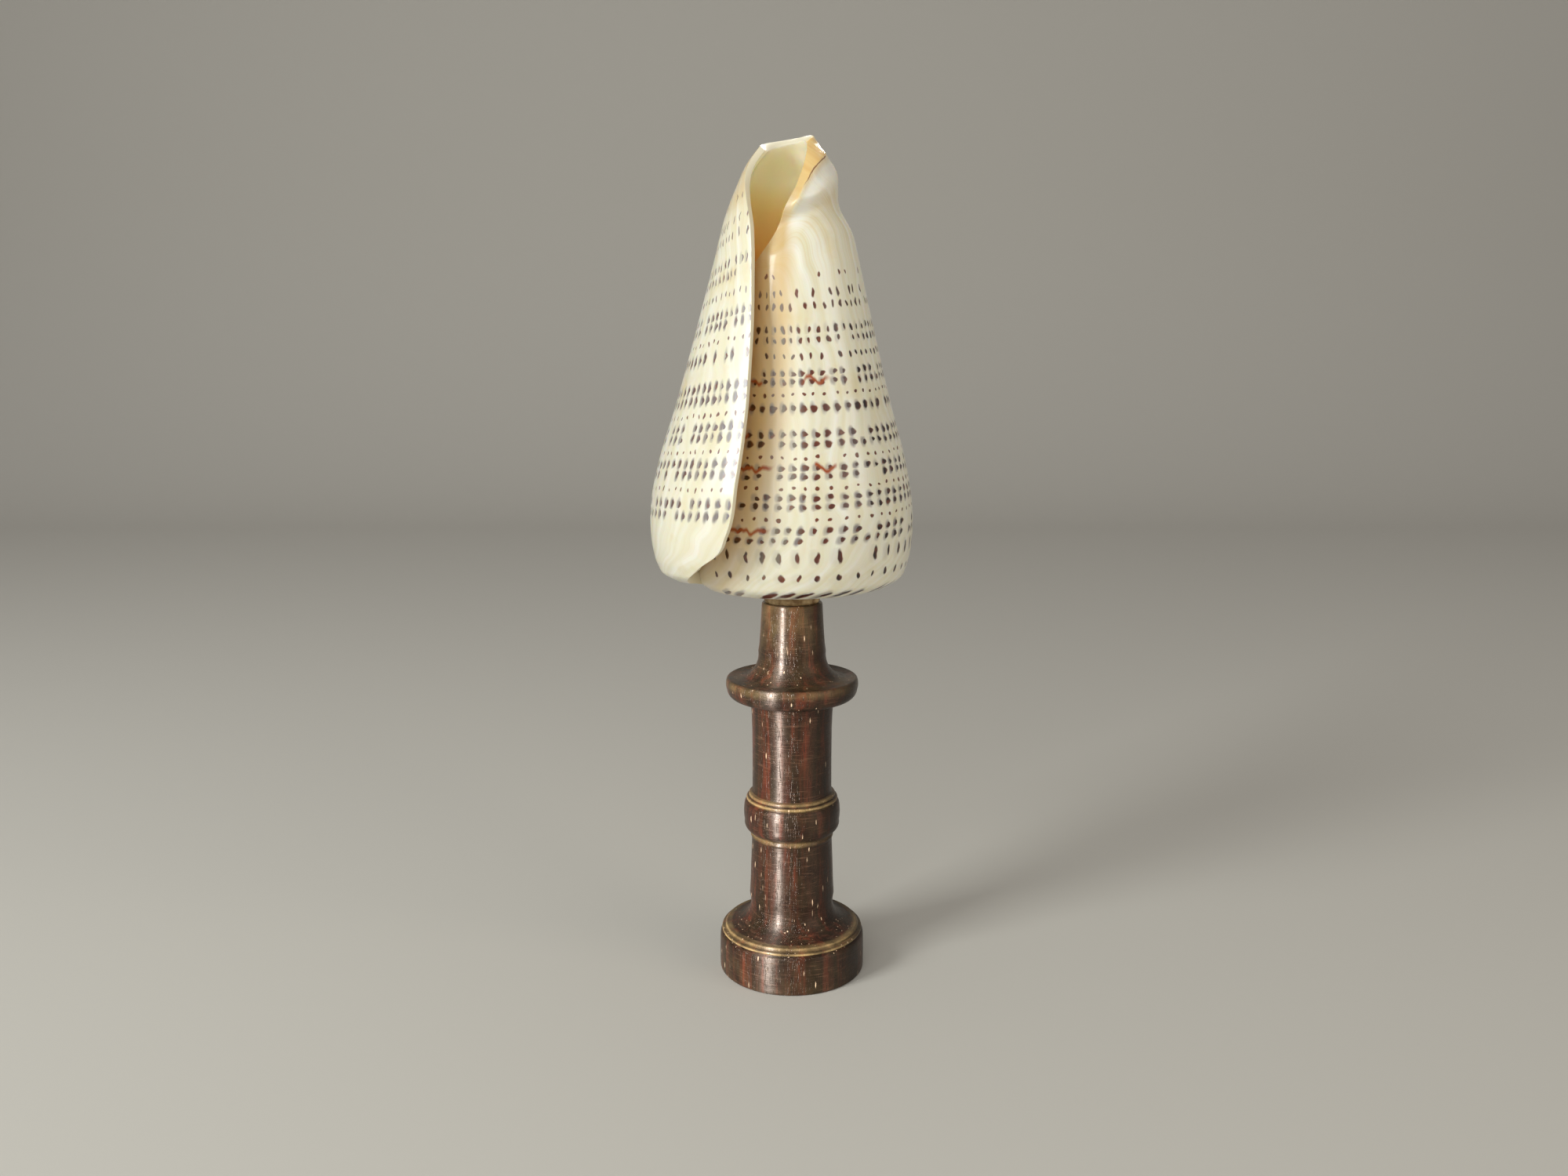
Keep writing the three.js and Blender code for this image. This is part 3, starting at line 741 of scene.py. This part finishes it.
rust_share = add(tree, "MapRange", {0: tone_noise, 1: 0.56, 2: 0.7, 3: 0.0, 4: 0.55})
small_dot = add(tree, "MapRange", {0: dot_wide, 1: 0.56, 2: 0.53, 3: 0.0, 4: 0.5})
rust_share = add(tree, "Math", {0: rust_share, 1: small_dot}, operation="MAXIMUM")
young_edge = add(tree, "MapRange", {0: rel_x, 1: 0.1, 2: 1.0, 3: 0.0, 4: 0.7})
rust_share = add(tree, "Math", {0: rust_share, 1: young_edge}, operation="MAXIMUM")
dot_colour = add(tree, "Mix", {0: rust_share, 6: dot_tone, 7: colour("#8e4a2a")}, out=2, data_type="RGBA")
dotted = add(tree, "Mix", {0: dot_mask, 6: smoke_tint, 7: dot_colour}, out=2, data_type="RGBA")
threaded = add(tree, "Mix", {0: thread, 6: dotted, 7: colour("#a64d1c")}, out=2, data_type="RGBA")

# The pillar's worn end is honey yellow, with a fine brown crack along its border, and the ridge below it is
# whitened as a painted highlight.
top_gap = add(tree, "SeparateXYZ", {0: rim_map}, out=0)
ragged = add(tree, "MapRange", {0: stain_noise, 1: 0.3, 2: 0.7, 3: -0.9, 4: 0.9}, clamp=False)
end_edge = add(tree, "Math", {0: top_gap, 1: ragged}, operation="ADD")
on_end = add(tree, "MapRange", {0: end_edge, 1: 4.0, 2: 3.2})
back_share = add(tree, "Math", {0: back_angle, 1: 1 / RAMP_DEGREES}, operation="MULTIPLY")
end_stops = [(0.61, black), (0.66, white), (0.83, white), (0.87, black)]
end_reach = add(tree, "ValToRGB", {0: back_share}, stops=end_stops)
on_end = add(tree, "Math", {0: on_end, 1: end_reach}, operation="MULTIPLY")
honey = add(
    tree,
    "Mix",
    {0: broad_bands, 6: colour("#f6dfa0"), 7: colour("#dfae68")},
    out=2,
    data_type="RGBA",
)
ended = add(tree, "Mix", {0: on_end, 6: threaded, 7: honey}, out=2, data_type="RGBA")
# A painted highlight: the ridge below the end is whitened along its crest.
ridge_rise = add(tree, "MapRange", {0: end_edge, 1: 4.2, 2: 6.0})
ridge_fall = add(tree, "MapRange", {0: end_edge, 1: 8.0, 2: 13.0, 3: 0.8, 4: 0.0})
ridge_highlight = add(tree, "Math", {0: ridge_rise, 1: ridge_fall}, operation="MULTIPLY")
ridge_highlight = add(tree, "Math", {0: ridge_highlight, 1: end_reach}, operation="MULTIPLY")
highlight_whitened = add(tree, "Mix", {0: ridge_highlight, 6: ended, 7: colour("#fbf9f0")}, out=2, data_type="RGBA")
crack_gap = add(tree, "Math", {0: end_edge, 1: 3.7}, operation="SUBTRACT")
crack_gap = add(tree, "Math", {0: crack_gap}, operation="ABSOLUTE")
crack = add(tree, "MapRange", {0: crack_gap, 1: 0.24, 2: 0.06})
crack_stops = [(0.68, black), (0.71, white), (0.80, white), (0.82, black)]
crack_reach = add(tree, "ValToRGB", {0: back_share}, stops=crack_stops)
crack = add(tree, "Math", {0: crack, 1: crack_reach}, operation="MULTIPLY")
cracked = add(tree, "Mix", {0: crack, 6: highlight_whitened, 7: colour("#8a5c34")}, out=2, data_type="RGBA")
tree.links.new(cracked, glaze_shader.inputs["Base Color"])
glaze_shader.inputs["Roughness"].default_value = 0.3
glaze_shader.inputs["Coat Weight"].default_value = 0.35
glaze_shader.inputs["Coat Roughness"].default_value = 0.09
glaze_shader.inputs["IOR"].default_value = 1.53
glaze_shader.inputs["Subsurface Weight"].default_value = 0.4
glaze_shader.inputs["Subsurface Radius"].default_value = (1.0, 0.65, 0.3)
glaze_shader.inputs["Subsurface Scale"].default_value = 0.0008
line_bump = add(tree, "Bump", {"Height": fine_lines, "Strength": 0.25, "Distance": 0.00006})
band_bump = add(
    tree,
    "Bump",
    {"Height": broad_bands, "Strength": 0.4, "Distance": 0.00035, "Normal": line_bump},
)
tree.links.new(band_bump, glaze_shader.inputs["Normal"])

# Inside: smooth porcelain, cream at the front end and the lip, deepening to tan where it winds in, which is
# painted shade of the deep mouth. Light passes some millimetres into it, so the mouth glows.
porcelain, tree, porcelain_shader = new_material("shell_porcelain")
place_3d = add(tree, "TexCoord", out=3)
sheet_map = add(tree, "UVMap", uv_map="sheet")
inner_z = add(tree, "SeparateXYZ", {0: sheet_map}, out=1)
inner_share = add(tree, "Math", {0: inner_z, 1: 1 / RAMP_MM}, operation="MULTIPLY")
# Lighter towards the front end and tan deeper in: painted shade of the mouth's depth.
inner_colour_and_depth_shade = add(
    tree,
    "ValToRGB",
    {0: inner_share},
    stops=[(0.5, "#fddcae"), (0.8, "#fdd596"), (0.93, "#fee4b6"), (1.0, "#fef3e0")],
)
tree.links.new(inner_colour_and_depth_shade, porcelain_shader.inputs["Base Color"])
porcelain_shader.inputs["Roughness"].default_value = 0.2
porcelain_shader.inputs["Subsurface Weight"].default_value = 0.8
porcelain_shader.inputs["Subsurface Radius"].default_value = (1.0, 0.76, 0.42)
porcelain_shader.inputs["Subsurface Scale"].default_value = 0.0042

# Edge: the sheet's own thickness, ivory at the lip and the colour of old ivory where it ends in the pillar.
ivory, tree, ivory_shader = new_material("shell_edge")
sheet_map = add(tree, "UVMap", uv_map="sheet")
edge_back = add(tree, "SeparateXYZ", {0: sheet_map}, out=0)
edge_share = add(tree, "Math", {0: edge_back, 1: 1 / RAMP_DEGREES}, operation="MULTIPLY")
edge_colour = add(
    tree,
    "ValToRGB",
    {0: edge_share},
    stops=[(0.0, "#f3ebd0"), (0.55, "#f3ebd0"), (0.66, "#efd08e"), (0.86, "#e0b670")],
)
tree.links.new(edge_colour, ivory_shader.inputs["Base Color"])
ivory_shader.inputs["Roughness"].default_value = 0.35

# The sheet gets its wall inwards from the outer face, and its cut edges are rounded.
shell = place("cone_shell", shell_mesh, glaze, porcelain, ivory)
shell.vertex_groups.new(name="wall")
thickness = shell.modifiers.new("wall", "SOLIDIFY")
thickness.thickness = WALL_MAX * MM
thickness.offset = -1
thickness.vertex_group = "wall"
thickness.material_offset = 1
thickness.material_offset_rim = 2
rounding = shell.modifiers.new("rounded_edge", "BEVEL")
rounding.width = 0.5 * MM
rounding.segments = 3
rounding.limit_method = "ANGLE"
rounding.angle_limit = math.radians(50)
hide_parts("shell")

# ---------------------------------------------------------------- the floor, the light and the camera
# A pale matt table top that curves up behind, under soft lights at the left, the front and, dimmer, the
# right. A tall window strip lights the wood alone, for its gloss, and a lamp behind lights the shell alone,
# so that its wall glows.

FLOOR_HALF_WIDTH = 1.6
FLOOR_REACH = 0.9
SWEEP_RADIUS = 0.35
WALL_TOP = 1.4
bm = bmesh.new()
edge = bm.edges.new([bm.verts.new((x, -FLOOR_REACH, 0)) for x in (-FLOOR_HALF_WIDTH, FLOOR_HALF_WIDTH)])
sweep_turns = [math.radians(10 * k) for k in range(10)]
sweep = [(FLOOR_REACH + SWEEP_RADIUS * math.sin(a), SWEEP_RADIUS * (1 - math.cos(a))) for a in sweep_turns]
for y, z in sweep + [(FLOOR_REACH + SWEEP_RADIUS, WALL_TOP)]:
    far = bmesh.ops.extrude_edge_only(bm, edges=[edge])["geom"]
    edge = next(item for item in far if isinstance(item, bmesh.types.BMEdge))
    for vertex in edge.verts:
        vertex.co.y, vertex.co.z = y, z
bmesh.ops.recalc_face_normals(bm, faces=bm.faces)
for face in bm.faces:
    face.smooth = True
floor_mesh = bpy.data.meshes.new("floor")
bm.to_mesh(floor_mesh)
bm.free()
matt_paper, tree, paper_shader = new_material("matt_paper")
paper_shader.inputs["Base Color"].default_value = colour("#cfccc6")
paper_shader.inputs["Roughness"].default_value = 0.8
floor_mesh.materials.append(matt_paper)
floor = bpy.data.objects.new("floor", floor_mesh)
bpy.context.collection.objects.link(floor)

world = bpy.data.worlds.new("studio")
world.use_nodes = True
room = world.node_tree.nodes["Background"]
room.inputs["Color"].default_value = (0.93, 0.9, 0.86, 1)
room.inputs["Strength"].default_value = 0.3
bpy.context.scene.world = world
bpy.context.scene.view_settings.view_transform = "Standard"

# Each lamp's place, width, height, watts, tint, share of gloss, and the one piece it lights, if not all.
LAMPS_AIM_AT = Vector((0, 0, 0.12))
for name, spot, wide, tall, power, tint, gloss, lit_piece in (
    ("key", (-0.74, -0.56, 0.56), 0.32, 0.45, 6.6, (0.98, 1.0, 0.95), 1.0, None),
    ("window", (-0.58, -0.79, 0.26), 0.07, 0.5, 42.0, (1.0, 0.98, 0.96), 1.0, stand),
    ("fill", (0.85, -0.55, 0.45), 0.7, 0.7, 2.4, (1.0, 0.92, 0.78), 1.0, None),
    ("front", (-0.2, -0.8, 0.5), 0.6, 0.6, 1.8, (0.99, 1.0, 0.94), 1.0, None),
    ("back", (0.1, 0.85, 0.75), 0.4, 0.4, 10.0, (1.0, 0.95, 0.86), 0.4, shell),
):
    lamp = bpy.data.lights.new(name, "AREA")
    lamp.shape = "RECTANGLE"
    lamp.size = wide
    lamp.size_y = tall
    lamp.energy = power
    lamp.color = tint
    lamp.specular_factor = gloss
    light = bpy.data.objects.new(name, lamp)
    bpy.context.collection.objects.link(light)
    light.location = spot
    light.rotation_euler = (LAMPS_AIM_AT - Vector(spot)).to_track_quat("-Z", "Y").to_euler()
    if lit_piece is not None:
        lit_alone = bpy.data.collections.new(name + "_lights")
        lit_alone.objects.link(lit_piece)
        light.light_linking.receiver_collection = lit_alone

# The camera stands a third of a metre off and looks 10.2 degrees down.
lens = bpy.data.cameras.new("camera")
lens.sensor_width = 36
lens.lens = 29.52
lens.clip_start = 0.01
camera = bpy.data.objects.new("camera", lens)
camera.location = (-0.0021, -0.32473, 0.16132)
camera.rotation_euler = (math.radians(79.8), 0, 0)
bpy.context.collection.objects.link(camera)
bpy.context.scene.camera = camera
